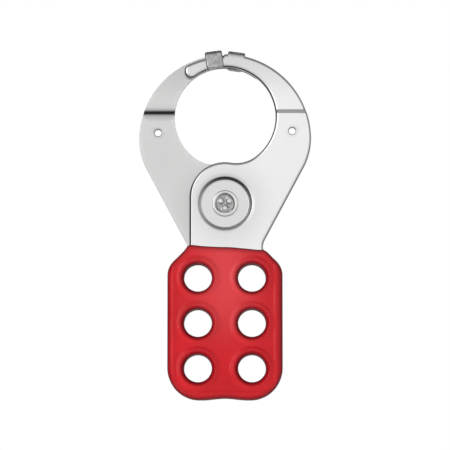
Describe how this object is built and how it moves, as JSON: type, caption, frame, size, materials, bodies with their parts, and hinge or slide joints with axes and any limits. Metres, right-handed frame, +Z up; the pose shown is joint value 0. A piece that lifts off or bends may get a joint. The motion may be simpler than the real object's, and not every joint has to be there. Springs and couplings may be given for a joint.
{
  "type": "lockout hasp",
  "caption": "Scissor-type lockout hasp: riveted steel plates with round interlocking jaws and red vinyl grips drilled for padlock shackles.",
  "frame": {"origin": "centre of the round jaw opening, on the plane midway between the two steel plates", "axes": "+Z up from the rivet towards the jaws, +X towards the front plate's jaw (right, seen from the front), +Y from the front plate to the back plate, so the front faces -Y; stored closed"},
  "size_m": [0.065, 0.0106, 0.1321],
  "materials": {
    "plated_steel": "bright zinc plating over stamped steel, satin, with a fine vertical rolling grain",
    "red_vinyl": "glossy dip-moulded plastisol with soft rounded rims",
    "rivet_steel": "bright plated rivet with a punched recess"
  },
  "bodies": {
    "pivot": {"pivot_rivet": "rivet_steel"},
    "front_half": {"front_plate": "plated_steel", "front_grip": "red_vinyl"},
    "back_half": {"back_plate": "plated_steel", "back_grip": "red_vinyl"}
  },
  "joints": [
    {"name": "front_half_swing", "type": "hinge", "parent": "pivot", "child": "front_half", "pos_m": [0, 0, -0.033], "axis": [0, 1, 0], "range_deg": [0, 23]},
    {"name": "back_half_swing", "type": "hinge", "parent": "pivot", "child": "back_half", "pos_m": [0, 0, -0.033], "axis": [0, 1, 0], "range_deg": [-23, 0]}
  ],
  "couplings": [
    {"joint": "back_half_swing", "follows": "front_half_swing", "ratio": -1}
  ]
}
